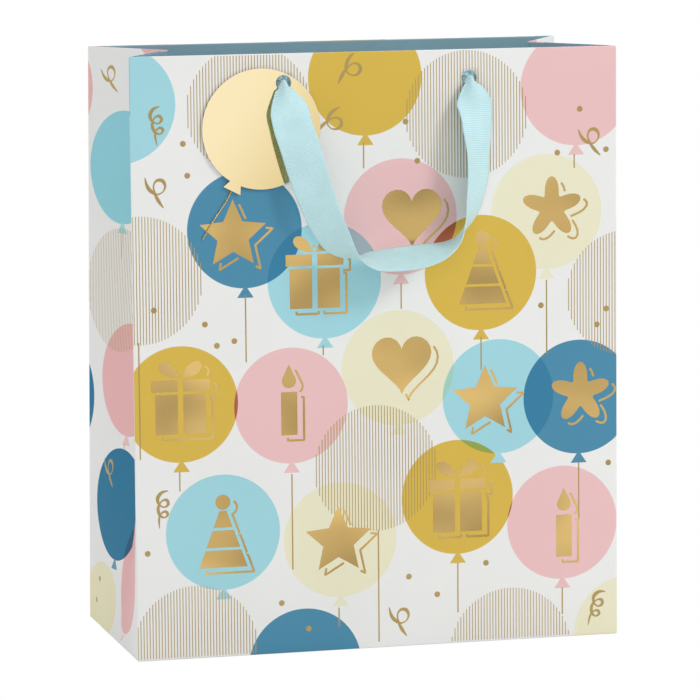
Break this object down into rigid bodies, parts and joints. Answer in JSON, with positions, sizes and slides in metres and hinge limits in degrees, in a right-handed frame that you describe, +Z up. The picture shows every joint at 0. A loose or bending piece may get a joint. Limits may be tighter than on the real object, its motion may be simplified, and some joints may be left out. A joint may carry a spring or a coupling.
{
  "type": "gift bag",
  "caption": "Free-standing paper gift bag with side gussets, flat base, swinging ribbon handles and a round tag on a ribbon.",
  "frame": {"origin": "centre of the base, on the surface that the bag stands on", "axes": "+Z up, longest; -Y front; +X the bag's right seen from the front"},
  "size_m": [0.254, 0.169, 0.3048],
  "materials": {
    "paper_white": "satin coated, printed",
    "paper_blue": "satin coated",
    "board": "matte",
    "ribbon": "grosgrain",
    "foil_card": "mirror foil on card",
    "thread": "metallic twist"
  },
  "bodies": {
    "bag": {"front_panel": "paper_white", "back_panel": "paper_white", "left_gusset_front": "paper_white", "left_gusset_back": "paper_white", "right_gusset_front": "paper_white", "right_gusset_back": "paper_white", "side_seam_tab": "paper_white", "base_flap_front": "paper_white", "base_flap_back": "paper_white", "base_flap_left": "paper_white", "base_flap_right": "paper_white", "front_turn_in": "paper_blue", "back_turn_in": "paper_blue", "left_turn_in_front": "paper_blue", "left_turn_in_back": "paper_blue", "right_turn_in_front": "paper_blue", "right_turn_in_back": "paper_blue", "front_hem_card": "board", "back_hem_card": "board", "base_card": "board", "front_left_knot": "ribbon", "front_right_knot": "ribbon", "back_left_knot": "ribbon", "back_right_knot": "ribbon"},
    "front_handle": {"front_handle_ribbon": "ribbon"},
    "back_handle": {"back_handle_ribbon": "ribbon"},
    "tag": {"gift_tag": "foil_card", "tag_thread": "thread"}
  },
  "joints": [
    {"name": "front_handle_swing", "type": "hinge", "parent": "bag", "child": "front_handle", "pos_m": [0, -0.0685, 0.2902], "axis": [-1, 0, 0], "range_deg": [0, 180]},
    {"name": "back_handle_swing", "type": "hinge", "parent": "bag", "child": "back_handle", "pos_m": [0, 0.04945, 0.29053], "axis": [1, 0, 0], "range_deg": [0, 180]},
    {"name": "tag_swing", "type": "hinge", "parent": "bag", "child": "tag", "pos_m": [-0.0485, -0.06505, 0.2902], "axis": [0, -1, 0], "range_deg": [-60, 60]}
  ]
}
